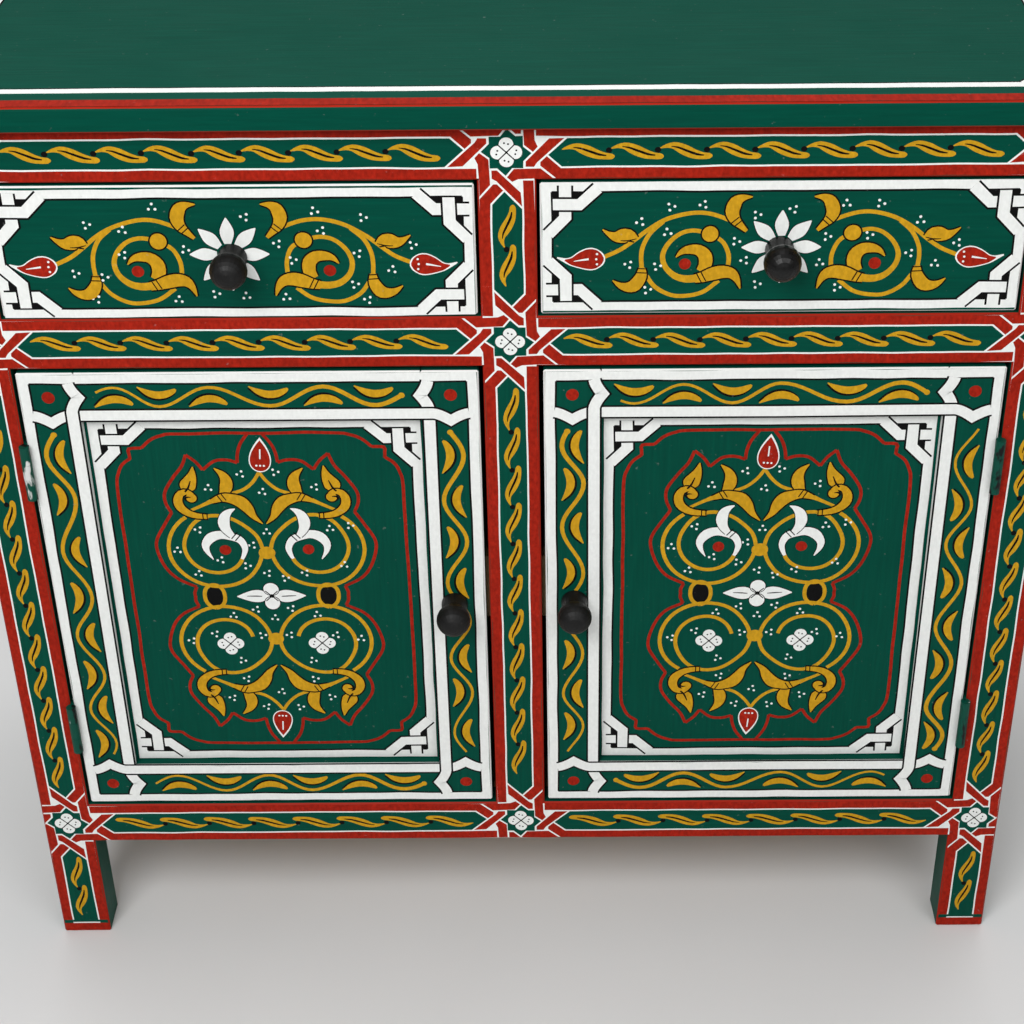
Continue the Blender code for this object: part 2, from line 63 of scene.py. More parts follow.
# The painter's hand: seed, size and length of its strays, and the steps of its strokes
HAND_SEED = 1
WOBBLE = 0.7
WOBBLE_LENGTH = 30
BRUSH_STEP = 3
BAR_STEP = 9
CURL_STEP = 8
DROP_STEPS = 14
OVAL_STEPS = 10
MITRE_LIMIT = 0.6

# Widths of lines and leaf tips
HAIR = 0.15
TIP = 0.8
FINE_LINE = 0.9
LINE = 1.3
INK = 1.5
EDGE = 1.2
THIN_EDGE = 0.7
SCROLL = 3.2
RED_LINE = 2.6
DROP_LINE = 0.9

# Small marks, and the most that a group of dots leans, in degrees
DOT_RADIUS = 1.05
DOT_REACH = 2.7
DOT_LEAN = 40
BINDING_REACH = 1.7
DROP_DOT = 0.9

# Bands of the face frame, from the middle of a rail, and the reach of a star
BAND_INNER = 12
BAND_OUTER = 19.7
BAND_WIDTH = BAND_OUTER - BAND_INNER
BAND_AT = (BAND_OUTER + BAND_INNER) / 2
FIELD = BAND_INNER - LINE
ARM = 46
STAR_ROSETTE = 11.3

# The red hem of a foot, from the floor
HEM_TOP = 14
HEM_BAND_AT = 5.5
HEM_BAND = 9
HEM_LINE_AT = 10.6

# Rows of leaves: where each starts, how far before the next knot's middle it ends, and how many leaves
LEAF_PITCH = 34.5
RAIL_CHAIN = (40, 49, 9)
TURNED_CHAIN = (42, 45.5, 8)
LEG_CHAINS = {"upper": (41, 42.5, 2), "lower": (41, 42.5, 12)}
MULLION_CHAINS = {"upper": (46, 42.5, 2), "lower": (54, 42.5, 11)}
FOOT_CHAIN = (20, 42.5, 2)

# White borders, the red band on the top, and the insets of the plain borders
DRAWER_BORDER = 7.4
DOOR_BORDER = 8
PANEL_BORDER = 8.2
PLAIN_BORDER = 9
TOP_BAND = 12
TOP_INSET = 34
SIDE_INSET = 14

# Forms of paint by body and colour, a count of strokes, and the same strays in each run
coats = {}
strokes = itertools.count()
noise.seed_set(HAND_SEED)


def smooth(points, spacing):
    """Points along a smooth curve through the given ones."""
    keys = [Vector(point) for point in points]
    keys = [2 * keys[0] - keys[1]] + keys + [2 * keys[-1] - keys[-2]]
    run = []
    for a, b, c, d in zip(keys, keys[1:], keys[2:], keys[3:]):
        count = max(2, math.ceil((c - b).length / spacing))
        for step in range(count):
            t = step / count
            bend = (2 * a - 5 * b + 4 * c - d) * t**2 + (3 * b - a - 3 * c + d) * t**3
            run.append(b + ((c - a) * t + bend) / 2)
    run.append(keys[-2])
    return run


def heading(angle):
    """A step of one millimetre in the direction of an angle in degrees."""
    turn = math.radians(angle)
    return Vector((math.cos(turn), math.sin(turn)))


class Pen:
    """Draws on one flat face of a body, in millimetres from a point of that face."""

    def __init__(self, body, face, origin=(0, 0), across=(1, 0), along=(0, 1)):
        self.body = body
        self.face = face
        self.origin = Vector(origin)
        self.across = Vector(across)
        self.along = Vector(along)

    def flat(self, x, z):
        """A place of this pen in the coordinates of its face."""
        return self.origin + self.across * x + self.along * z

    def moved(self, x=0, z=0, flip_x=1, flip_z=1, quarter_turns=0):
        """A pen whose zero is at x, z of this one, mirrored and then turned clockwise by quarters."""
        across = self.across * flip_x
        along = self.along * flip_z
        for _ in range(quarter_turns):
            across, along = -along, across
        return Pen(self.body, self.face, self.flat(x, z), across, along)

    def mirrored(self):
        """This pen and its mirror image across the upright through its zero."""
        return self.moved(), self.moved(flip_x=-1)

    def swapped(self):
        """This pen with its two directions exchanged."""
        return self.moved(flip_z=-1, quarter_turns=1)

    def layer(self, colour, outline, faces, coat):
        """A closed layer of paint inside an outline, whose top is the given faces of outline points."""
        key = (self.body, colour + "_paint")
        if key not in coats:
            coats[key] = bmesh.new()
        form = coats[key]
        height = FIRST_COAT + coat * COAT_STEP + next(strokes) * GOLDEN % 1 * STROKE_SPREAD
        base, right, up = self.face
        out = right.cross(up)
        places = [self.flat(*point) for point in outline]
        tops = []
        feet = []
        for place in places:
            shake = noise.noise_vector(Vector((*place, 0)) / WOBBLE_LENGTH) * WOBBLE
            spot = base + (right * (place.x + shake.x) + up * (place.y + shake.y)) * MM
            tops.append(form.verts.new(spot + out * height * MM))
            feet.append(form.verts.new(spot - out * SINK * MM))
        doubled_area = sum(a.cross(b) for a, b in zip(places, places[1:] + places[:1]))
        if doubled_area < 0:
            tops, feet = feet, tops
        for face in faces:
            form.faces.new([tops[index] for index in face])
            form.faces.new([feet[index] for index in reversed(face)])
        for index in range(len(outline)):
            form.faces.new((tops[index - 1], feet[index - 1], feet[index], tops[index]))

    def patch(self, colour, outline, coat=0):
        """A filled outline."""
        self.layer(colour, outline, [range(len(outline))], coat)

    def stroke(self, colour, run, coat=0):
        """A stroke along points (x, z, width)."""
        left = []
        right = []
        for before, here, after in zip([run[0]] + run[:-1], run, run[1:] + [run[-1]]):
            course = (after - before).to_2d().normalized()
            ahead = (after - here).to_2d()
            mitre = course.dot(ahead.normalized()) if ahead.length else 1
            side = course.orthogonal() * max(here.z, HAIR) / 2 / max(mitre, MITRE_LIMIT)
            left.append(here.to_2d() + side)
            right.append(here.to_2d() - side)
        outline = left + right[::-1]
        last = len(outline) - 1
        faces = [(i, i + 1, last - i - 1, last - i) for i in range(len(left) - 1)]
        self.layer(colour, outline, faces, coat)

    def path(self, colour, points, width, coat=0):
        """Straight stretches with sharp corners."""
        self.stroke(colour, [Vector((*point, width)) for point in points], coat)

    def bar(self, colour, start, end, width, coat=0):
        """A straight stretch that shows the painter's hand."""
        start = Vector((*start, width))
        end = Vector((*end, width))
        count = max(1, round((end - start).length / BAR_STEP))
        self.stroke(colour, [start.lerp(end, step / count) for step in range(count + 1)], coat)

    def brush(self, colour, points, width=None, coat=0):
        """A smooth stroke through points (x, z) of one width, or points (x, z, width) where it swells."""
        if width is not None:
            points = [(*point, width) for point in points]
        self.stroke(colour, smooth(points, BRUSH_STEP), coat)

    def leaf(self, colour, points, coat=1, edge=EDGE):
        """A swelling stroke with a black edge."""
        self.brush("black", [(x, z, width + 2 * edge) for x, z, width in points], coat=coat)
        self.brush(colour, points, coat=coat + 1)

    def band(self, points, width, coat):
        """A white band with sharp corners and black edges."""
        self.path("black", points, width + 2 * INK, coat)
        self.path("white", points, width, coat + 1)

    def curl(self, colour, centre, keys, width, coat=0):
        """A scroll about a centre, through keys (angle in degrees, radius)."""
        run = []
        for angle, radius in smooth(keys, CURL_STEP):
            spot = Vector(centre) + heading(angle) * radius
            run.append(Vector((*spot, width)))
        self.stroke(colour, run, coat)

    def oval(self, colour, x, z, radius, height=None, coat=0):
        """A round dot, or an oval one with its own half height."""
        height = height or radius
        count = OVAL_STEPS + 2 * round(radius)
        turns = [2 * math.pi * step / count for step in range(count)]
        self.patch(colour, [(x + radius * math.cos(t), z + height * math.sin(t)) for t in turns], coat)

    def ball(self, x, z, radius, coat=1):
        """An ochre ball with a black edge."""
        self.oval("black", x, z, radius + EDGE, coat=coat)
        self.oval("ochre", x, z, radius, coat=coat + 1)

    def drop(self, colour, start, tip, width, coat=0):
        """A teardrop from its round end to its tip, widest where u * (1 - u * u) is largest."""
        fullest = 2 / math.sqrt(27)
        run = []
        for step in range(DROP_STEPS + 1):
            u = step / DROP_STEPS
            spot = Vector(start).lerp(Vector(tip), u * u)
            run.append(Vector((*spot, width * u * (1 - u * u) / fullest)))
        self.stroke(colour, run, coat)

    def dots(self, places):
        """Three small white dots in a triangle at each place."""
        for x, z in places:
            for turn in (90, 210, 330):
                spot = Vector((x, z)) + heading(turn + DOT_LEAN * math.sin(x + z)) * DOT_REACH
                self.oval("white", *spot, DOT_RADIUS, coat=2)

    def binding(self, x, z, angle, width, coat):
        """The double black line round a stem that runs at an angle, where leaves part."""
        course = heading(angle)
        half = course.orthogonal() * width / 2
        for offset in (-BINDING_REACH, BINDING_REACH):
            spot = Vector((x, z)) + course * offset
            self.path("black", [spot - half, spot + half], FINE_LINE, coat)


# Places and faces of the nodes, in millimetres


def span(node, axis):
    """Where a node begins and ends along an axis."""
    low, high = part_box(node)
    return low[axis] / MM, high[axis] / MM


def middle(node, axis):
    """The middle of a node along an axis."""
    return sum(span(node, axis)) / 2


def half_size(node, axis):
    """Half the size of a node along an axis."""
    low, high = span(node, axis)
    return (high - low) / 2


def front_face(node):
    """The front of a node as a face to draw on, measured from the middle of the floor."""
    return Vector((0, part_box(node)[0].y, 0)), Vector((1, 0, 0)), Vector((0, 0, 1))


def side_face(node, hand):
    """The outer side of a node; x runs towards the front on the left side and to the back on the right."""
    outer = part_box(node)[1 if hand > 0 else 0].x
    return Vector((outer, 0, 0)), Vector((0, hand, 0)), Vector((0, 0, 1))


def top_face(node):
    """The top of a node; x runs to the right and z to the back."""
    return Vector((0, 0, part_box(node)[1].z)), Vector((1, 0, 0)), Vector((0, 1, 0))


# Face frame

# One arm of the star, pointing up: white ground, red bands on it, and a point of the star
ARM_GROUND = [
    (-BAND_OUTER, ARM), (-FIELD, ARM), (-FIELD, 43.6), (1.9, 30), (FIELD, 39.9), (FIELD, ARM),
    (BAND_OUTER, ARM), (BAND_OUTER, 0), (-BAND_OUTER, 0)]
ARM_BANDS = [
    [(-BAND_OUTER, ARM), (-BAND_INNER, ARM), (-BAND_INNER, 21.2), (-BAND_OUTER, 21.2)],
    [(-FIELD, 41.5), (7.4, 22), (10.8, 19.8), (10.8, 13.7), (7, 13.7), (-10.2, 30.6)],
    [(BAND_OUTER, ARM), (BAND_INNER, ARM), (BAND_INNER, 39.2), (2.8, 29), (7.2, 24.3), (9.9, 24.3),
     (BAND_OUTER, 35.6)],
    [(BAND_OUTER, 33.5), (BAND_INNER, 24.6), (12.7, 5.2), (19, 0.2), (22.4, 4), (20.3, 8.6),
     (BAND_OUTER, 21)],
]
STAR_POINT = [(-4, 12), (0.7, 17.9), (6.7, 12), (12, 12)]


def turned(outline, quarters):
    """An outline turned clockwise about the pen's zero."""
    for _ in range(quarters % 4):
        outline = [(z, -x) for x, z in outline]
    return outline


def below(outline, limit):
    """The part of an outline under a height."""
    kept = []
    for (x0, z0), (x1, z1) in zip(outline[-1:] + outline[:-1], outline):
        if (z0 > limit) != (z1 > limit):
            kept.append((x0 + (x1 - x0) * (limit - z0) / (z1 - z0), limit))
        if z1 <= limit:
            kept.append((x1, z1))
    return kept


# A rosette's petals and cross as shares of its reach, and the black dots on a petal
PETAL_SHARE = 0.46
CROSS_SHARE = 0.55
PETAL_DOTS = [(-1.4, 1), (1.4, 0.2)]
PETAL_DOT = 0.7


def rosette(pen, reach, coat):
    """Four white petals with a black cross between them."""
    petal = reach * PETAL_SHARE
    for turn in range(4):
        arm = pen.moved(quarter_turns=turn)
        arm.oval("white", 0, reach - petal, petal, coat=coat)
        for x, z in PETAL_DOTS:
            arm.oval("black", x, reach - petal + z, PETAL_DOT, coat=coat + 1)
    half = reach * CROSS_SHARE
    for lean in (1, -1):
        pen.bar("black", (-half, -lean * half), (half, lean * half), FINE_LINE, coat + 1)


def star_knot(pen, arms):
    """A star where rails meet uprights; arms are the quarter turns at which bands leave it."""
    star = []
    for turn in range(4):
        star += turned(STAR_POINT, turn)
        for index, piece in enumerate([ARM_GROUND] + ARM_BANDS):
            outline = turned(piece, turn)
            for edge in set(range(4)) - set(arms):
                outline = turned(below(turned(outline, -edge), BAND_OUTER), edge)
            if outline:
                pen.patch("red" if index else "white", outline, coat=1 if index else 0)
    pen.patch("green", star, coat=2)
    rosette(pen, STAR_ROSETTE, coat=3)


def strip(pen, start, end):
    """The red edges and white lines along a rail or upright, running up from the pen's zero."""
    for half in pen.mirrored():
        half.bar("red", (BAND_AT, start), (BAND_AT, end), BAND_WIDTH)
        half.bar("white", (FIELD + LINE / 2, start), (FIELD + LINE / 2, end), LINE)


# A leaf of a row, its vein and the dot at its thin end
LEAF = [
    (0, 2.3, TIP), (4.5, 3.9, 2.8), (9.4, 4.3, 5), (13.6, 2.8, 7), (18, 0.7, 7.8), (24.2, -2.1, 6.8),
    (30.5, -3.6, 5), (35, -3.8, 4.2), (37, -3.6, 1.2)]
VEIN = [(7.8, 3.7, 0.5), (12.5, 3, 1.3), (18.8, 0.5, 1.7), (26, -2.3, 1.7), (31, -3.1, TIP)]
LEAF_DOT_AT = (-1.6, 1)
LEAF_DOT = (2.3, 2.1)


def leaf_chain(pen, length, chain):
    """Curved leaves in a row along the pen's x, with black veins, and black dots where two meet."""
    start, short, count = chain
    pitch = (length - start - short) / count
    stretch = pitch / LEAF_PITCH
    for index in range(count):
        leaf = pen.moved(start + index * pitch)
        leaf.brush("ochre", [(x * stretch, z, width) for x, z, width in LEAF])
        leaf.brush("black", [(x * stretch, z, width) for x, z, width in VEIN], coat=1)
        if index:
            leaf.oval("black", *LEAF_DOT_AT, *LEAF_DOT, coat=2)


def paint_face_frame():
    """Star knots where rails meet uprights, and bands with rows of leaves between them."""
    pen = Pen("carcass", front_face("middle_rail"))
    rails = {name: middle(name + "_rail", 2) for name in ("top", "middle", "bottom")}
    posts = {"left": middle("left_front_leg", 0), "centre": 0, "right": middle("right_front_leg", 0)}
    spacing = posts["right"]
    for side, x in posts.items():
        sideways = {"left": [1], "centre": [1, 3], "right": [3]}[side]
        foot = [] if side == "centre" else [2]
        star_knot(pen.moved(x, rails["top"]), sideways + [2])
        star_knot(pen.moved(x, rails["middle"]), sideways + [0, 2])
        star_knot(pen.moved(x, rails["bottom"]), sideways + [0] + foot)
        chains = LEG_CHAINS if foot else MULLION_CHAINS
        for part, above, below_it in (("upper", "top", "middle"), ("lower", "middle", "bottom")):
            length = rails[above] - rails[below_it]
            post = pen.moved(x, rails[below_it])
            strip(post, ARM, length - ARM)
            leaf_chain(post.moved(quarter_turns=3), length, chains[part])
        if foot:
            paint_foot(pen.moved(x), rails["bottom"])
    for level, height in rails.items():
        for x in (posts["left"], 0):
            rail = pen.moved(x, height)
            strip(rail.moved(quarter_turns=1), ARM, spacing - ARM)
            if level == "bottom":
                leaf_chain(rail.moved(spacing, quarter_turns=2), spacing, TURNED_CHAIN)
            else:
                leaf_chain(rail, spacing, RAIL_CHAIN)


def paint_foot(pen, height):
    """A foot carries the pattern on down to a red hem."""
    strip(pen, HEM_TOP, height - ARM)
    leaf_chain(pen.moved(quarter_turns=3), height, FOOT_CHAIN)
    pen.bar("red", (-BAND_OUTER, HEM_BAND_AT), (BAND_OUTER, HEM_BAND_AT), HEM_BAND, coat=1)
    pen.bar("white", (-BAND_INNER, HEM_LINE_AT), (BAND_INNER, HEM_LINE_AT), LINE, coat=1)


# White borders with interlaced corners

# The two bands of a corner knot and the black ground under them, from the corner
KNOT_BAND = 8.5
KNOT_AT = 9.5
KNOT_BEND = 19.8
KNOT_END = (32.9, -3)
KNOT_UNDER_START = -5
KNOT_OVER_START = 0.6
KNOT_GROUND = 25
KNOT_GROUND_BEND = 17.5


def border(pen, half_width, half_height, width):
    """A white border whose inner edges are at the given half sizes, with a black line inside."""
    for half in pen.mirrored():
        x = half_width + width / 2
        half.bar("white", (x, -half_height - width), (x, half_height + width), width)
        half.bar("black", (half_width, -half_height), (half_width, half_height), INK, coat=1)
    for flip in (1, -1):
        level = pen.moved(flip_z=flip)
        z = half_height + width / 2
        level.bar("white", (-half_width, z), (half_width, z), width)
        level.bar("black", (-half_width, half_height), (half_width, half_height), INK, coat=1)


def corner_knot(pen):
    """Two crossing bands that cut off the corner of a border; the pen's x and z run inwards from it."""
    gap = KNOT_AT - KNOT_BAND / 2
    half_ground = [(KNOT_GROUND, 0), (KNOT_GROUND_BEND, gap)]
    pen.patch("black", [(0, 0)] + half_ground + [(z, x) for x, z in reversed(half_ground)], coat=2)
    pen.band([(KNOT_AT, KNOT_UNDER_START), (KNOT_AT, KNOT_BEND), KNOT_END[::-1]], KNOT_BAND, coat=3)
    pen.band([(KNOT_OVER_START, KNOT_AT), (KNOT_BEND, KNOT_AT), KNOT_END], KNOT_BAND, coat=5)


def corners(pen, half_width, half_height):
    """A pen at each corner of a rectangle, its x and z running inwards."""
    for side in (1, -1):
        for level in (1, -1):
            yield pen.moved(side * half_width, level * half_height, flip_x=-side, flip_z=-level)


def knotted_border(pen, half_width, half_height, width):
    """A border whose corner bands pass over and under each other in turn."""
    border(pen, half_width, half_height, width)
    for index, corner in enumerate(corners(pen, half_width, half_height)):
        corner_knot(corner if index in (1, 2) else corner.swapped())


# Drawers


def hooked_drop(pen):
    """A red drop in a white line, with a hooked tip; the pen's zero is where its stem meets it."""
    pen.brush("white", [
        (-1, 0, 3), (1, 0, 10), (6, 0, 16.5), (11, -0.2, 17.6), (17, -1.1, 14), (23, -1.9, 8),
        (28, -1.1, 3.8), (34, 1.4, 1)], coat=3)
    pen.brush("red", [
        (0, 0, 2), (2, 0, 9), (6, 0, 14.7), (11, -0.2, 15.8), (17, -1.1, 12.2), (23, -1.9, 6.2),
        (28.5, -0.8, 1)], coat=4)
    for x, z in ((5, -4), (5.5, 0), (5, 4)):
        pen.oval("white", x, z, DROP_DOT, coat=5)
    pen.brush("white", [(11, 0, 1.6), (16, -0.8, 1.2), (22, -1.8, 0.5)], coat=5)


# A drawer's flower: petals, reach, how low it sits, widths at shares of the reach, black edge
DAISY_PETALS = 8
DAISY_REACH = 29
DAISY_DROP = 1
DAISY_WIDTHS = [(0.3, 5), (0.5, 9.2), (0.66, 9.8), (0.85, 5.6), (1, TIP)]
DAISY_EDGE = 0.6


def daisy(pen):
    """The white flower behind a drawer's knob."""
    for index in range(DAISY_PETALS):
        course = heading(90 + 360 * index / DAISY_PETALS) * DAISY_REACH
        petal = [(*(course * share), width) for share, width in DAISY_WIDTHS]
        pen.leaf("white", petal, edge=DAISY_EDGE)


# Thin stems on one half of a drawer
DRAWER_STEMS = [
    [(32, 18), (44, 23), (54, 26), (64, 26.6), (75, 24.5), (86, 20.2), (98, 12.5), (106, 5.8), (117, -2.5),
     (130, -8.6)],
    [(86, 19.5), (95, 11), (100, 1), (101.3, -8), (100.8, -18)],
    [(98.5, -22), (91, -32.5), (79, -39.3), (67, -39.8), (55, -36.5), (44, -28)],
    [(38, -18), (38, -7), (42, 3), (49, 8.5)],
]


def drawer_scroll(pen):
    """The stems on one half of a drawer, with a ball and a red dot; the pen's x runs outwards."""
    for stem in DRAWER_STEMS:
        pen.brush("ochre", stem, SCROLL)
    pen.brush("ochre", [
        (55, 11, SCROLL), (65, 12.6, SCROLL), (74, 10, SCROLL), (82, 2.5, 3.4), (86, -7, 3.7),
        (84, -16.5, 4.1), (77, -23.8, 5), (68, -26.5, 5.8), (58, -25.5, 6.2)])
    pen.ball(52, 9.8, 6.1)
    pen.oval("red", 69.5, -14.3, 4.5)


def drawer_leaves(pen):
    """The leaves and the drop on one half of a drawer."""
    pen.leaf("ochre", [
        (57.5, -20.5, 7), (54.3, -14.5, 9.6), (55, -7.5, 9.8), (60, -3, 8.4), (67, -2.5, 6.8),
        (72.5, -4.5, 4), (76.4, -8.7, TIP)])
    pen.leaf("ochre", [
        (62, -26.3, 6.5), (56, -25, 8), (48, -22.3, 10.3), (41, -21, 10), (35, -22.5, 8),
        (31, -27.5, 4.5), (28.5, -34.6, TIP)], coat=3)
    pen.binding(57, -25.2, -27, 8.6, coat=5)
    pen.leaf("ochre", [
        (25.6, 12, 2.6), (30, 16.5, 4.8), (34.5, 21.5, 7.8), (36.5, 28, 9.8), (34, 35, 9), (29, 38.2, 5),
        (22.3, 38.8, TIP)])
    pen.binding(33, 19.4, 48, 7.4, coat=3)
    pen.leaf("ochre", [
        (105, 6, 4), (110, 9.3, 9), (115, 8.7, 11), (120, 8, 8), (125, 10, 4), (129.8, 13.5, TIP)])
    pen.brush("black", [(105, 6.6, 0.6), (111, 5, 1.1), (116.5, 5, 0.5)], coat=3)
    pen.leaf("ochre", [
        (100.6, -17, 4.6), (101.2, -24, 8), (105.5, -31, 9.5), (111, -32.8, 7.6), (117, -31.3, 4.5),
        (122.4, -27.2, TIP)])
    pen.binding(100.8, -19.6, 92, 7.2, coat=3)
    hooked_drop(pen.moved(129, -9.7))


# How far a drawer's flower and border are set from its middle, and the halves further out
FLOWER_SHIFT = {"left": (-3.5, -1), "right": (-1, 2)}
HALF_SHIFT = {"left": (3, -1.5), "right": (-0.5, 0)}
BORDER_SHIFT = {"left": -1.5, "right": 1.6}

# Groups of dots on the right and the left half of each drawer, outwards from the flower
DRAWER_DOTS = {
    "left": (
        [(13.5, 28.5), (64, 33), (99, 27.5), (68, 17.5), (35.5, 7), (45.5, -6), (93.5, -1), (134, 5.5),
         (118, -14), (90, -25.5), (9.5, -34.5), (39, -36), (99, -38)],
        [(52, 36), (101, 23), (75.5, 19), (32, 3), (77.5, -1), (114, -15.5), (93, -18.5), (101, -36.5),
         (40.5, -37.5), (13, -33)]),
    "right": (
        [(7.5, 29), (45.5, 33), (70, 33), (100, 19.5), (33, 7), (63.5, 7.5), (128, 1.5), (93.5, -6.5),
         (113, -15.5), (29, -13.5), (42.5, -34)],
        [(18.5, 24.5), (57.5, 33), (80.5, 31), (102.5, 19.5), (83, 11), (33, 4), (26.5, -11.5), (90, -16),
         (110.5, -14.5), (16.5, -31), (96.5, -35)]),
}


def paint_drawer(side):
    """The border, scrolls and flower on a drawer's front."""
    node = side + "_drawer_front"
    pen = Pen(side + "_drawer", front_face(node)).moved(middle(node, 0), middle(node, 2))
    inner_x = half_size(node, 0) - EASED_EDGE - DRAWER_BORDER
    inner_z = half_size(node, 2) - EASED_EDGE - DRAWER_BORDER
    knotted_border(pen.moved(0, BORDER_SHIFT[side]), inner_x, inner_z, DRAWER_BORDER)
    flower = pen.moved(*FLOWER_SHIFT[side])
    for half, shift, places in zip(flower.mirrored(), HALF_SHIFT[side], DRAWER_DOTS[side]):
        drawer_scroll(half.moved(shift))
        drawer_leaves(half.moved(shift))
        half.dots(places)
    daisy(flower.moved(0, -DAISY_DROP))


# Doors

# A leaf of a vine, and how far its black shadow stands off it
CRESCENT = [(-14, -7, 1.6), (-12, -5.2, 4), (-6, -2.4, 6), (1, -1.7, 6.4), (8, -3.9, 5), (15.5, -8.6, TIP)]
CRESCENT_SHADOW = (0.6, 1.7)

# The vines on the top rail, bottom rail, left stile and right stile of each door: quarter turns and flip
# of the pen, then places of the leaves from the middle of the rail or stile, thick end of the stem first
VINES = {
    "left": [
        (2, 1, (-96, -57, -16, 31, 69, 103)),
        (2, 1, (-99, -61, -19, 17, 56, 96)),
        (3, -1, (-140, -101, -51, -6, 34, 73, 110, 147)),
        (1, 1, (-138, -97, -58, -18, 20, 58, 94, 138)),
    ],
    "right": [
        (2, -1, (-96, -56, -5, 31, 69, 106)),
        (0, -1, (-95, -58, -21, 26, 63, 103)),
        (3, -1, (-146, -112, -71, -27, 15, 55, 96, 131)),
        (1, -1, (-145, -113, -69, -29, 14, 53, 89, 129)),
    ],
}

# The stem of a vine: swing, usual length of a bend and steps in it, first and last width, and first ball
VINE_SWING = 8.4
VINE_BEND = 40
VINE_STEPS = 9
VINE_START = 3.7
VINE_END = 1.9
VINE_BALL = 2.4

# How far a vine on a rail and on a stile stops short of the panel's edge
RAIL_VINE_SHORT = 15
STILE_VINE_SHORT = 12


def vine(pen, half, places):
    """A wavy stem along the pen's x that thins out, with a crescent leaf in each bend."""
    bends = [(place, index) for index, place in enumerate(places)]
    bends.insert(0, (-half, -(places[0] + half) / VINE_BEND))
    bends.append((half, len(places) - 1 + (half - places[-1]) / VINE_BEND))
    run = []
    for (x0, bend0), (x1, bend1) in zip(bends, bends[1:]):
        for step in range(VINE_STEPS + 1):
            share = step / VINE_STEPS
            x = x0 + (x1 - x0) * share
            z = VINE_SWING * math.cos(math.pi * (bend0 + (bend1 - bend0) * share))
            width = VINE_START + (VINE_END - VINE_START) * (x + half) / (2 * half)
            if step or not run:
                run.append(Vector((x, z, width)))
    pen.stroke("ochre", run)
    pen.oval("ochre", run[0].x, run[0].y, VINE_BALL)
    for index, place in enumerate(places):
        leaf = pen.moved(place, flip_z=1 - 2 * (index % 2))
        shadow_x, shadow_z = CRESCENT_SHADOW
        leaf.brush("black", [(x + shadow_x, z + shadow_z, width) for x, z, width in CRESCENT], coat=1)
        leaf.brush("ochre", CRESCENT, coat=2)


# The cusp of a border in a door's corner square: height, sharpness, start, lap on the outer border
CUSP_HEIGHT = 6.5
CUSP_POWER = 1.5
CUSP_START = 3
CUSP_LAP = 1
CUSP_STEPS = 12

# Width of the borders that cross in a corner square, and the red dot there
CROSSING_BORDER = 8.6
CORNER_DOT = 5


def cusped(reach, far):
    """A course along the pen's x from far inside to the outer border, with a cusp in the corner square."""
    run = [(far, 0)]
    for step in range(CUSP_STEPS + 1):
        share = step / CUSP_STEPS
        x = -CUSP_START - (reach + CUSP_LAP - CUSP_START) * share
        run.append((x, CUSP_HEIGHT * (1 - abs(2 * share - 1)) ** CUSP_POWER))
    return run


def paint_door_frame(pen, side, half_width, half_height, sight_x, sight_z):
    """White borders along a door's frame, crossing at the corners, with vines between them."""
    outer_x = half_width - EASED_EDGE - DOOR_BORDER
    outer_z = half_height - EASED_EDGE - DOOR_BORDER
    border(pen, outer_x, outer_z, DOOR_BORDER)
    inner_x = sight_x + EASED_EDGE + DOOR_BORDER / 2
    inner_z = sight_z + EASED_EDGE + DOOR_BORDER / 2
    reach_x = outer_x - inner_x
    reach_z = outer_z - inner_z
    for index, corner in enumerate(corners(pen, inner_x, inner_z)):
        across_coat, upright_coat = (2, 4) if index in (1, 2) else (4, 2)
        corner.band(cusped(reach_x, inner_x), CROSSING_BORDER, across_coat)
        corner.swapped().band(cusped(reach_z, inner_z), CROSSING_BORDER, upright_coat)
        corner.oval("red", -(reach_x + DOOR_BORDER / 2) / 2, -(reach_z + DOOR_BORDER / 2) / 2, CORNER_DOT)
    field_x = (inner_x + DOOR_BORDER / 2 + outer_x) / 2
    field_z = (inner_z + DOOR_BORDER / 2 + outer_z) / 2
    places = [(0, field_z), (0, -field_z), (-field_x, 0), (field_x, 0)]
    for (x, z), (turns, flip, leaves) in zip(places, VINES[side]):
        half = sight_z - STILE_VINE_SHORT if x else sight_x - RAIL_VINE_SHORT
        vine(pen.moved(x, z, flip_z=flip, quarter_turns=turns), half, leaves)


# Share of its full width that the white on a recess wall keeps at the foot
FOOT_SHARE = 0.3


def paint_recess(body, centre, front, depth, sight_x, sight_z):
    """White on the side walls between a door's frame and panel, and green along the lower wall's edge."""
    forward = Vector((0, 1, 0))
    full = depth - EASED_EDGE
    thin = FOOT_SHARE * full
    count = round(2 * sight_z / BAR_STEP)
    for hand in (1, -1):
        up = Vector((-hand, 0, 0)).cross(forward)
        base = Vector((centre.x + hand * sight_x * MM, front * MM, centre.z))
        top = Vector((EASED_EDGE + full / 2, sight_z * up.z, full))
        foot = Vector((EASED_EDGE + thin / 2, -sight_z * up.z, thin))
        wall = Pen(body, (base, forward, up))
        wall.stroke("white", [top.lerp(foot, step / count) for step in range(count + 1)])
    right = Vector((1, 0, 0))
    slope = Vector((0, 1, 1)).normalized()
    base = Vector((centre.x, (front + EASED_EDGE / 2) * MM, centre.z - (sight_z + EASED_EDGE / 2) * MM))
    edge = Pen(body, (base, right, slope))
    edge.bar("green", (-sight_x, 0), (sight_x, 0), EASED_EDGE * math.sqrt(2))


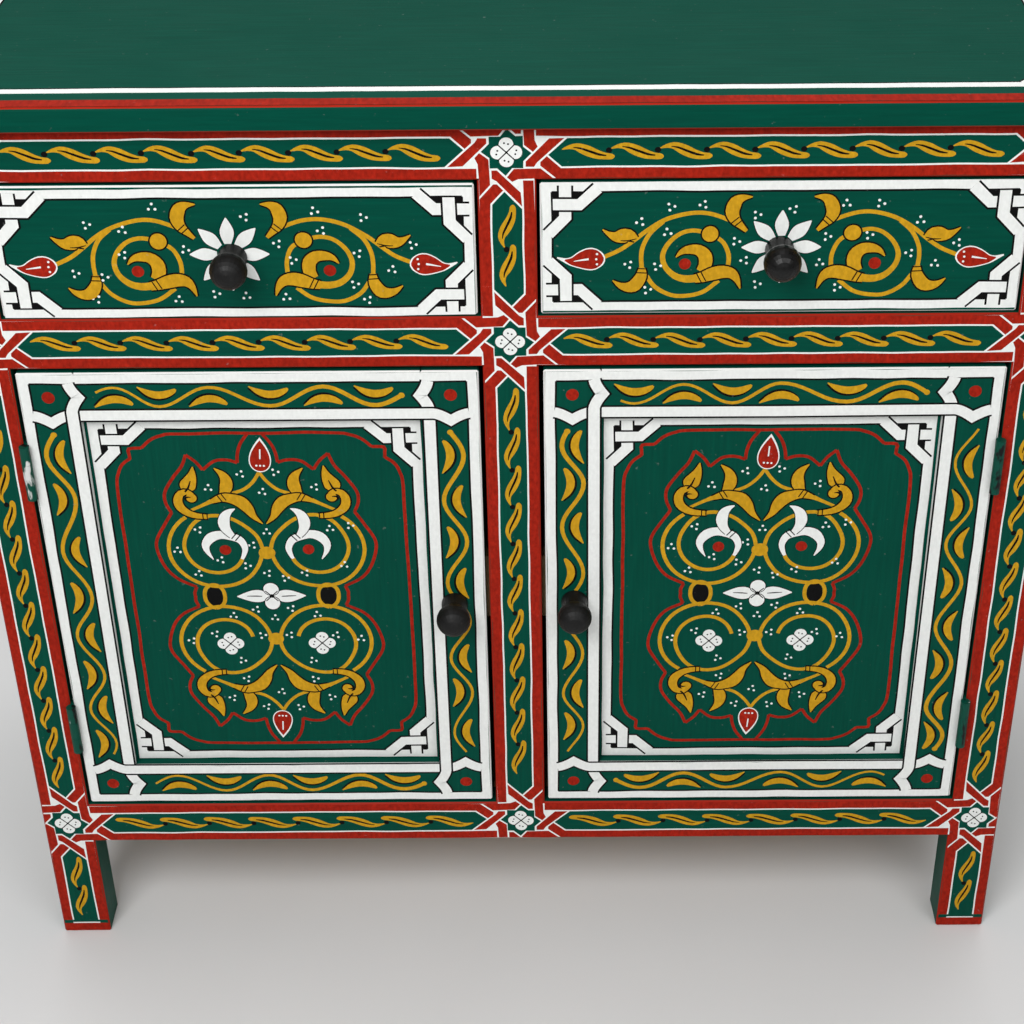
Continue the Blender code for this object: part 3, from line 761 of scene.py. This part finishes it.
# Quarter of the red outline round the scrolls, in smooth stretches between cusps
CARTOUCHE = [
    [(6, 156), (12, 147), (15, 138), (16, 130)],
    [(16, 130), (24, 132.5), (34, 131.5), (43.5, 123.7)],
    [(43.5, 123.7), (48.5, 131.5), (55.5, 138)],
    [(55.5, 138), (60, 127), (68, 116.5), (76, 103), (76.5, 92.5), (73, 83.5)],
    [(73, 83.5), (80, 72), (87.5, 58), (88, 47), (83, 31), (74.5, 19.5), (60.5, 11.5)],
    [(60.5, 11.5), (62.7, 6), (62.5, 1.5)],
]

# Quarter of the red line inside the border, in stretches as well
RED_FRAME = [
    [(113, 1), (113, 60), (112.8, 108), (110.5, 121), (106.5, 129), (99.5, 134.5)],
    [(99.5, 134), (99.8, 139), (99.3, 143.4), (89.5, 144)],
    [(89.5, 144), (82, 151), (73, 155), (60, 156.8), (-1, 156.8)],
]

# Groups of dots on a panel's right and left half, outwards from its middle, and along the middle
PANEL_DOTS = [
    [(13, 121), (43, 107), (52, 67.5), (68.5, 70.5), (61.5, 32.5), (29.5, 25), (13, 20), (15, -10.5),
     (36, -17), (50, -38), (70.5, -42), (12, -38), (29, -64), (29, -84), (42, -103.5), (15, -114)],
    [(15, 119.5), (41, 106.5), (53, 67.5), (72, 47.5), (11.5, 52), (57.5, 24.5), (17, 32.5), (38, 38),
     (14, -11.5), (33, -17.5), (50, -36), (70, -43), (11, -38), (30, -64), (28, -83), (42, -103),
     (14, -113)],
]
MIDDLE_DOTS = [(1, 103), (1, 65), (-1, 25), (1, -20), (0, -97)]

# Half sizes of a panel's border, the height of its mirror line, and how low it all sits
PANEL_FIELD = (120.5, 161)
MIRROR_LINE = 2
PANEL_DROP = 1.5

# How far the painter set the scrolls from the middle of a panel
PANEL_SHIFT = {"left": 0, "right": -2.5}

# Middle of a scroll, and its two turns by angle and radius
SCROLL_CENTRE = (41, 48)
OUTER_TURN = [(56, 37.8), (6, 38), (-38, 37), (-96, 36.2), (-142, 36.4), (-165, 37), (-178, 37.4)]
INNER_TURN = [
    (178, 37.4), (160, 36.2), (134, 33.6), (81, 32.4), (39, 27), (2, 25), (-40, 23.4), (-93, 22.5),
    (-150, 22.5), (-168, 22.5)]

# The flower in a lower scroll, the buds between scrolls, and the drops above and below
PANEL_ROSETTE = 11.2
PANEL_ROSETTE_AT = (38, -46.3)
BUDS = [(44.5, 6.8), (-41.5, 6.6)]
BUD_HEIGHT = 6
TEARDROPS = [((1.5, 122), (3.5, 153), 16), ((-1, -118.5), (-3, -147), 15.5)]


def panel_scroll(pen):
    """The red outline and double scroll of a quarter of a door panel; x and z run outwards."""
    for stretch in CARTOUCHE:
        pen.brush("red", stretch, RED_LINE)
    for turns in (OUTER_TURN, INNER_TURN):
        pen.curl("ochre", SCROLL_CENTRE, turns, SCROLL, coat=1)
    pen.brush("ochre", [(0, 121), (6, 112), (14.5, 104.5), (27, 100)], 2.8, coat=1)
    pen.brush("ochre", [(58, 85.5, 2.4), (46, 91.5, 3), (38, 95.5, 4.4)], coat=1)


def panel_leaves(pen):
    """The leaves above the scroll of a quarter of a door panel, one of them curled over a ball."""
    pen.leaf("ochre", [
        (30.5, 99, 5), (27.3, 106, 9.4), (26.5, 112.5, 9), (28.8, 118.8, 6), (34.8, 125, TIP)], coat=2)
    pen.leaf("ochre", [
        (40, 94.3, 3.6), (31, 97.5, 7), (24, 96.5, 8.5), (17, 93.5, 10.4), (12, 87.5, 9), (8, 80, 5),
        (1.5, 73, TIP)], coat=4)
    pen.binding(31.5, 97.6, 150, 8, coat=6)
    pen.leaf("ochre", [
        (59, 103.5, 6), (57.4, 108.5, 12.6), (54.6, 114, 10.4), (52.4, 119.8, 6), (51.2, 127, TIP)], coat=2)
    pen.ball(55.6, 97.8, 4.2, coat=4)
    pen.leaf("ochre", [
        (44, 79.8, 4), (53, 80.8, 5), (60, 83.5, 6), (65.5, 89, 7.2), (66.6, 96, 7), (63.5, 102, 5.6),
        (58, 103.2, 4.4), (54.4, 100.4, 3.4)], coat=4)
    pen.brush("black", [(60, 103.4, 1.4), (57, 107, 1.6), (54.4, 113.6, 0.8)], coat=6)
    pen.brush("black", [(59.8, 94.6, 0.8), (60.8, 96.8, 1.5), (58.8, 98.5, 1.4), (56, 98.2, 0.6)], coat=6)
    pen.binding(46.5, 79.8, 0, 6, coat=6)


def white_leaf(pen):
    """The white parting leaf inside an upper scroll, round a red dot."""
    pen.leaf("white", [
        (44, 38.5, TIP), (48, 46, 4), (48.5, 53, 6.5), (43.5, 60, 8.6), (35.5, 62.4, 7.6), (26, 60, 7),
        (20.3, 56.5, 6.2), (17.5, 49.5, 5), (18.8, 43, 3.6), (20.6, 39, 2.6)], coat=2, edge=THIN_EDGE)
    pen.leaf("white", [
        (26.5, 61, 5), (30.5, 67, 7.4), (32, 73.5, 9.4), (30.5, 80, 8.2), (26.8, 84.4, 5), (22, 87, TIP)],
        coat=4, edge=THIN_EDGE)
    pen.binding(23.5, 60.5, 40, 8, coat=6)
    pen.oval("red", 33.4, 47.7, 4.7)


# The loop between two scrolls: middle, course, and half sizes of the almond in it
EYE_AT = (46.5, MIRROR_LINE)
EYE_TURN = [(-90, 11.4), (0, 8.3), (90, 11.4), (180, 8.3), (270, 11.4)]
EYE_SIZE = (6.6, 9.6)


def eye_loop(pen):
    """The loop that ties an upper scroll to a lower one, round a black almond."""
    pen.oval("black", *EYE_AT, *EYE_SIZE)
    pen.curl("ochre", EYE_AT, EYE_TURN, SCROLL, coat=1)


# The flower in the middle of a panel: its round petals, its heart and the cross between petals
ROUND_PETAL = 6.2
ROUND_PETAL_AT = 7
HEART = 1.8
HEART_CROSS = 5


def centre_flower(pen):
    """Two long petals and two round ones."""
    long_petal = [(1, 0, 2), (8, 0, 11), (14, 0, 12), (20, 0, 8.4), (28, 0, TIP)]
    for half in pen.mirrored():
        half.leaf("white", long_petal, edge=THIN_EDGE)
        half.brush("black", [(8, -0.3, 0.6), (13, 0, 1), (20, 0.2, 0.5)], coat=5)
    for z in (ROUND_PETAL_AT, -ROUND_PETAL_AT):
        pen.oval("black", 0, z, ROUND_PETAL + THIN_EDGE, coat=3)
        pen.oval("white", 0, z, ROUND_PETAL, coat=4)
    for lean in (HEART_CROSS, -HEART_CROSS):
        pen.path("black", [(-HEART_CROSS, -lean), (HEART_CROSS, lean)], FINE_LINE, coat=5)
    pen.oval("black", 0, 0, HEART, coat=5)


# Marks on a drop: three dots side by side, and a stroke, from its round end
DROP_DOTS_AT = 5
DROP_DOTS_APART = 3
DROP_MARK = (11, 20)
DROP_MARK_WIDTH = 1.1


def teardrop(pen, start, tip, width):
    """A red drop inside a white line, with dots and a stroke on it."""
    start = Vector(start)
    course = (Vector(tip) - start).normalized()
    pen.drop("white", start - course * DROP_LINE, tip, width + 2 * DROP_LINE, coat=3)
    pen.drop("red", start, Vector(tip) - course * 3 * DROP_LINE, width, coat=4)
    for offset in (-DROP_DOTS_APART, 0, DROP_DOTS_APART):
        spot = start + course * DROP_DOTS_AT + course.orthogonal() * offset
        pen.oval("white", spot.x, spot.y, DROP_DOT, coat=5)
    pen.path("white", [start + course * reach for reach in DROP_MARK], DROP_MARK_WIDTH, coat=5)


def paint_panel(pen, shift):
    """A panel's border, red frame and scrolls; shift is how far the scrolls are set to the right."""
    knotted_border(pen, *PANEL_FIELD, PANEL_BORDER)
    for half in pen.mirrored():
        for quarter in (half, half.moved(0, 2 * MIRROR_LINE, flip_z=-1)):
            for stretch in RED_FRAME:
                quarter.brush("red", stretch, RED_LINE)
    scrolls = pen.moved(shift)
    for half, places in zip(scrolls.mirrored(), PANEL_DOTS):
        for quarter in (half, half.moved(0, 2 * MIRROR_LINE, flip_z=-1)):
            panel_scroll(quarter)
            panel_leaves(quarter)
        white_leaf(half)
        rosette(half.moved(*PANEL_ROSETTE_AT), PANEL_ROSETTE, coat=2)
        eye_loop(half)
        half.dots(places)
    scrolls.dots(MIDDLE_DOTS)
    for z, half_bud in BUDS:
        scrolls.oval("ochre", 0, z, half_bud, BUD_HEIGHT, coat=2)
    centre_flower(scrolls.moved(0, MIRROR_LINE))
    for shape in TEARDROPS:
        teardrop(scrolls, *shape)


def paint_door(side):
    """The ornament on a door's frame, recess and panel."""
    body = side + "_door"
    panel = body + "_panel"
    stiles = [body + "_hinge_stile", body + "_meeting_stile"]
    edges = sorted(place for stile in stiles for place in span(stile, 0))
    half_width = (edges[3] - edges[0]) / 2
    sight_x = (edges[2] - edges[1]) / 2
    half_height = half_size(stiles[0], 2)
    sight_z = half_height - (span(stiles[0], 2)[1] - span(body + "_top_rail", 2)[0])
    centre = (middle(panel, 0), middle(panel, 2))
    pen = Pen(body, front_face(stiles[0])).moved(*centre)
    paint_door_frame(pen, side, half_width, half_height, sight_x, sight_z)
    front = span(stiles[0], 1)[0]
    recess = span(panel, 1)[0] - front
    paint_recess(body, Vector((centre[0], 0, centre[1])) * MM, front, recess, sight_x, sight_z)
    paint_panel(Pen(body, front_face(panel)).moved(centre[0], centre[1] - PANEL_DROP), PANEL_SHIFT[side])


# Top and sides, which carry only borders


def paint_top():
    """A red band along the edges of the top board, and a knotted border inside it."""
    pen = Pen("carcass", top_face("top_board")).moved(middle("top_board", 0), middle("top_board", 1))
    half_width = half_size("top_board", 0) - EASED_EDGE
    half_depth = half_size("top_board", 1) - EASED_EDGE
    band_x = half_width - TOP_BAND / 2
    band_z = half_depth - TOP_BAND / 2
    inner_x = half_width - TOP_BAND
    for half in pen.mirrored():
        half.bar("red", (band_x, -half_depth), (band_x, half_depth), TOP_BAND)
    for flip in (1, -1):
        level = pen.moved(flip_z=flip)
        level.bar("red", (-inner_x, band_z), (inner_x, band_z), TOP_BAND)
    knotted_border(pen, half_width - TOP_INSET, half_depth - TOP_INSET, PLAIN_BORDER)


def paint_sides():
    """A knotted border on each side panel."""
    for side, hand in (("left", -1), ("right", 1)):
        panel = side + "_side_panel"
        pen = Pen("carcass", side_face(panel, hand)).moved(hand * middle(panel, 1), middle(panel, 2))
        sight_y = (span(side + "_rear_leg", 1)[0] - span(side + "_front_leg", 1)[1]) / 2
        sight_z = (span(side + "_side_top_rail", 2)[0] - span(side + "_side_bottom_rail", 2)[1]) / 2
        knotted_border(pen, sight_y - SIDE_INSET, sight_z - SIDE_INSET, PLAIN_BORDER)


# Materials


def tone(red, green, blue):
    """A colour given by its screen values, as linear light."""
    light = []
    for value in (red / 255, green / 255, blue / 255):
        light.append(((value + 0.055) / 1.055) ** 2.4 if value > 0.04 else value / 12.92)
    return (*light, 1)


GREEN = tone(0, 69, 55)
OCHRE = tone(195, 147, 29)
RED = tone(156, 33, 18)
WHITE = tone(229, 231, 228)
BLACK = tone(14, 14, 14)
PINE = tone(196, 156, 108)
WORN_BLACK = tone(70, 66, 60)

# Colours of the ornament, and how much their brush marks differ
PAINTS = {
    "white": (WHITE, 0.05),
    "red": (RED, 0.28),
    "green": (GREEN, 0.18),
    "ochre": (OCHRE, 0.16),
    "black": (BLACK, 0.2),
}

# How far textures are drawn out: along a board, by a brush, down a hinge
GRAIN_STRETCH = 0.05
BRUSH_STRETCH = (1, 0.3, 0.6)
SMEAR_STRETCH = (1, 1, 0.35)

# Lean, with leeway, by which the eased front edges of a board are told from its faces
EDGE_LEAN = -0.7
EDGE_LEEWAY = 0.2

# Least and most roughness of knobs, of which the right drawer's is the glossiest
GLOSSY = (0.22, 0.4)
DULL = (0.4, 0.6)


class Finish:
    """A node material under construction, with its surface shader."""

    def __init__(self, name):
        self.material = bpy.data.materials.new(name)
        self.material.use_nodes = True
        self.tree = self.material.node_tree
        self.shader = self.tree.nodes["Principled BSDF"]
        self.place = self.add("ShaderNodeTexCoord").outputs["Object"]

    def add(self, kind, values=None, **settings):
        """A new node with its settings, and with inputs that are set or linked."""
        node = self.tree.nodes.new(kind)
        for key, value in settings.items():
            setattr(node, key, value)
        self.feed(node, values or {})
        return node

    def feed(self, node, values):
        """Sets inputs of a node to values, or links them where the value is an output."""
        for key, value in values.items():
            if isinstance(value, bpy.types.NodeSocket):
                self.tree.links.new(value, node.inputs[key])
            else:
                node.inputs[key].default_value = value

    def noise(self, scale, detail=3, stretch=(1, 1, 1)):
        """Noise of so many features to a metre, drawn out along the axes with a small stretch."""
        spread = self.add("ShaderNodeMapping", {"Vector": self.place, "Scale": stretch})
        values = {"Vector": spread.outputs["Vector"], "Scale": scale, "Detail": detail}
        return self.add("ShaderNodeTexNoise", values).outputs["Fac"]

    def ramp(self, factor, stops):
        """Colours along a factor, from stops (place, colour)."""
        ramp = self.add("ShaderNodeValToRGB", {"Fac": factor})
        elements = ramp.color_ramp.elements
        while len(elements) < len(stops):
            elements.new(0.5)
        for element, (place, colour) in zip(elements, stops):
            element.position = place
            element.color = colour
        return ramp.outputs["Color"]

    def blend(self, factor, first, second):
        """The first colour going over to the second with a factor."""
        return self.add("ShaderNodeMix", {0: factor, 6: first, 7: second}, data_type="RGBA").outputs[2]

    def limits(self, factor, low, high, to_low, to_high):
        """A factor carried over from one range to another."""
        values = {"Value": factor, "From Min": low, "From Max": high, "To Min": to_low, "To Max": to_high}
        return self.add("ShaderNodeMapRange", values).outputs["Result"]

    def bump(self, height, strength, distance):
        """Unevenness of the surface."""
        node = self.add("ShaderNodeBump", {"Height": height, "Strength": strength, "Distance": distance})
        self.feed(self.shader, {"Normal": node.outputs["Normal"]})

    def surface(self, colour, roughness, shine=0.5):
        """The look of the surface."""
        self.feed(self.shader, {"Base Color": colour, "Roughness": roughness, "Specular IOR Level": shine})


def scaled(colour, factor):
    """A lighter or darker colour."""
    return (*(min(1, value * factor) for value in colour[:3]), 1)


def grain(axis):
    """Stretch of a texture along the axis in which a board runs."""
    stretch = [1, 1, 1]
    stretch[axis] = GRAIN_STRETCH
    return stretch


def paint(name, colour, axis=None, edge=None, depth=0.12):
    """Brushed paint; axis is the way the brush ran, edge is the colour of the eased edges at the front."""
    finish = Finish(name)
    streaks = finish.noise(420, 4, BRUSH_STRETCH if axis is None else grain(axis))
    clouds = finish.noise(14, 3)
    flecks = finish.noise(240, 2)
    coat = finish.ramp(streaks, [
        (0.3, scaled(colour, 1 - depth)), (0.55, colour), (0.75, scaled(colour, 1 + depth))])
    coat = finish.blend(finish.limits(clouds, 0.45, 0.75, 0, 0.35), coat, scaled(colour, 1 - 1.3 * depth))
    coat = finish.blend(finish.limits(flecks, 0.72, 0.8, 0, 0.18), coat, scaled(WHITE, 0.5))
    if edge:
        lean = finish.add("ShaderNodeTexCoord").outputs["Normal"]
        parts = finish.add("ShaderNodeSeparateXYZ", {"Vector": lean})
        values = {0: parts.outputs["Y"], 1: EDGE_LEAN, 2: EDGE_LEEWAY}
        eased = finish.add("ShaderNodeMath", values, operation="COMPARE")
        coat = finish.blend(eased.outputs["Value"], coat, edge)
    finish.surface(coat, finish.limits(clouds, 0.3, 0.7, 0.36, 0.5), shine=0.05)
    finish.bump(streaks, 0.25, 0.0004)
    return finish.material


def bare_wood(name, axis):
    """Planed softwood with rings and fine pores along the board."""
    finish = Finish(name)
    rings = finish.noise(55, 2, grain(axis))
    pores = finish.noise(700, 3, grain(axis))
    wood = finish.ramp(rings, [
        (0.35, scaled(PINE, 0.62)), (0.5, PINE), (0.62, scaled(PINE, 0.8)), (0.72, scaled(PINE, 1.1))])
    wood = finish.blend(finish.limits(pores, 0.5, 0.8, 0, 0.4), wood, scaled(PINE, 0.5))
    finish.surface(wood, finish.limits(rings, 0.3, 0.7, 0.55, 0.75))
    finish.bump(pores, 0.2, 0.0003)
    return finish.material


def lacquer(name, low, high):
    """Black lacquer over turned wood, dull in patches."""
    finish = Finish(name)
    clouds = finish.noise(90, 4)
    marks = finish.noise(500, 3)
    coat = finish.ramp(clouds, [(0.35, scaled(BLACK, 0.7)), (0.6, BLACK), (0.8, scaled(BLACK, 3))])
    coat = finish.blend(finish.limits(marks, 0.7, 0.78, 0, 0.5), coat, WORN_BLACK)
    finish.surface(coat, finish.limits(clouds, 0.3, 0.7, low, high), shine=0.25)
    finish.bump(clouds, 0.25, 0.0006)
    return finish.material


def painted_steel(name):
    """Hinges brushed over with the frame, smeared with white and black."""
    finish = Finish(name)
    smears = finish.noise(130, 3, SMEAR_STRETCH)
    coat = finish.ramp(smears, [(0.36, BLACK), (0.42, GREEN), (0.62, GREEN), (0.68, scaled(WHITE, 0.8))])
    finish.surface(coat, finish.limits(smears, 0.3, 0.7, 0.3, 0.5), shine=0.15)
    finish.bump(smears, 0.3, 0.0004)
    return finish.material


def long_axis(node):
    """The axis along which a node is longest."""
    low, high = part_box(node)
    return max(range(3), key=lambda axis: high[axis] - low[axis])


def edge_word(node):
    """The colour of a node's eased edges, which is that of the paint beside them."""
    if node.startswith(("left_door", "right_door", "left_drawer", "right_drawer")):
        return "white"
    if "rear" in node or "side" in node:
        return "green"
    return "red"


def look_key(node, slot):
    """What the finish of a node depends on; nodes with the same key share one."""
    if slot == "green_paint":
        return slot, long_axis(node), edge_word(node)
    if slot == "bare_wood":
        return slot, long_axis(node)
    if slot == "black_lacquer":
        return slot, node == "right_drawer_knob"
    return (slot,)


@functools.cache
def make_look(slot, *choice):
    """The finish for a key, with brush marks or grain along the node's length."""
    name = "_".join(str(word) for word in (slot, *choice))
    if slot == "green_paint":
        axis, edge = choice
        return paint(name, GREEN, axis, PAINTS[edge][0])
    if slot == "bare_wood":
        return bare_wood(name, *choice)
    if slot == "black_lacquer":
        return lacquer(name, *(GLOSSY if choice[0] else DULL))
    return painted_steel(name)


def dress_nodes():
    """Gives each CAD node the finish of its slot."""
    for part in frame["record"]["subparts"]:
        key = look_key(part["node"], part["material_slot"])
        piece = frame["nodes"][part["node"]]
        piece.data.materials.clear()
        piece.data.materials.append(make_look(*key))


# Pieces of the scene


def new_object(name, data):
    """A new object of the scene."""
    thing = bpy.data.objects.new(name, data)
    bpy.context.scene.collection.objects.link(thing)
    return thing


def finish_ornament():
    """Turns the gathered paint layers into pieces, one for each body and colour."""
    looks = {}
    for word, (colour, depth) in PAINTS.items():
        looks[word + "_paint"] = paint(word + "_ornament", colour, depth=depth)
    for (body, colour), form in coats.items():
        name = f"{body}_{colour}_ornament"
        mesh = bpy.data.meshes.new(name)
        form.to_mesh(mesh)
        form.free()
        mesh.materials.append(looks[colour])
        piece = new_object(name, mesh)
        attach(piece, body)


# Stage

# The camera: place in metres, turns down, to the right and about its own line in degrees, lens and shift
CAMERA_PLACE = (0.0374, -1.4717, 1.2997)
CAMERA_TURNS = (33.0, -0.12, -0.45)
CAMERA_LENS = 68.94
CAMERA_SHIFT = (-0.0447, -0.001)

# Half the length of the floor in metres, and its greys
FLOOR_HALF = 6
FLOOR_DARK = (0.7, 0.7, 0.7, 1)
FLOOR_LIGHT = (0.74, 0.74, 0.74, 1)

# Lamps: place, target and size in metres, power in watts; and light from all round
FRONT = (0, -0.17, 0.7)
LAMPS = {
    "key": ((-0.6, -1.6, 1.9), FRONT, 1.2, 32),
    "fill": ((1.1, -1.8, 1.9), FRONT, 1.4, 15),
    "overhead": ((0, 1.2, 3.2), (0, 1.2, 0), 3, 55),
}
SKY = 0.25


def camera():
    """The camera, where the photo was taken from."""
    down, right, about = (math.radians(angle) for angle in CAMERA_TURNS)
    turn = Matrix.Rotation(-right, 4, "Z")
    turn @= Matrix.Rotation(math.pi / 2 - down, 4, "X")
    turn @= Matrix.Rotation(about, 4, "Z")
    data = bpy.data.cameras.new("camera")
    data.lens = CAMERA_LENS
    data.shift_x, data.shift_y = CAMERA_SHIFT
    eye = new_object("camera", data)
    eye.matrix_world = Matrix.Translation(Vector(CAMERA_PLACE)) @ turn
    bpy.context.scene.camera = eye


def floor():
    """A light grey floor."""
    half = FLOOR_HALF
    corner_places = [(-half, -half, 0), (half, -half, 0), (half, half, 0), (-half, half, 0)]
    mesh = bpy.data.meshes.new("floor")
    mesh.from_pydata(corner_places, [], [(0, 1, 2, 3)])
    finish = Finish("floor")
    clouds = finish.ramp(finish.noise(3, 2), [(0.3, FLOOR_DARK), (0.7, FLOOR_LIGHT)])
    finish.surface(clouds, 0.8)
    mesh.materials.append(finish.material)
    ground = new_object("floor", mesh)


def softbox(name, place, target, size, power):
    """A round lamp with soft shadows."""
    data = bpy.data.lights.new(name, "AREA")
    data.shape = "DISK"
    data.size = size
    data.energy = power
    lamp = new_object(name, data)
    lamp.location = place
    lamp.rotation_euler = (Vector(target) - Vector(place)).to_track_quat("-Z", "Y").to_euler()


def lights():
    """White light from all round, and the lamps."""
    world = bpy.data.worlds.new("studio")
    world.use_nodes = True
    sky = world.node_tree.nodes["Background"].inputs
    sky["Color"].default_value = (1, 1, 1, 1)
    sky["Strength"].default_value = SKY
    bpy.context.scene.world = world
    for name, settings in LAMPS.items():
        softbox(name, *settings)
    bpy.context.scene.view_settings.view_transform = "Standard"


paint_face_frame()
for side in ("left", "right"):
    paint_drawer(side)
    paint_door(side)
paint_top()
paint_sides()
finish_ornament()
dress_nodes()
camera()
floor()
lights()
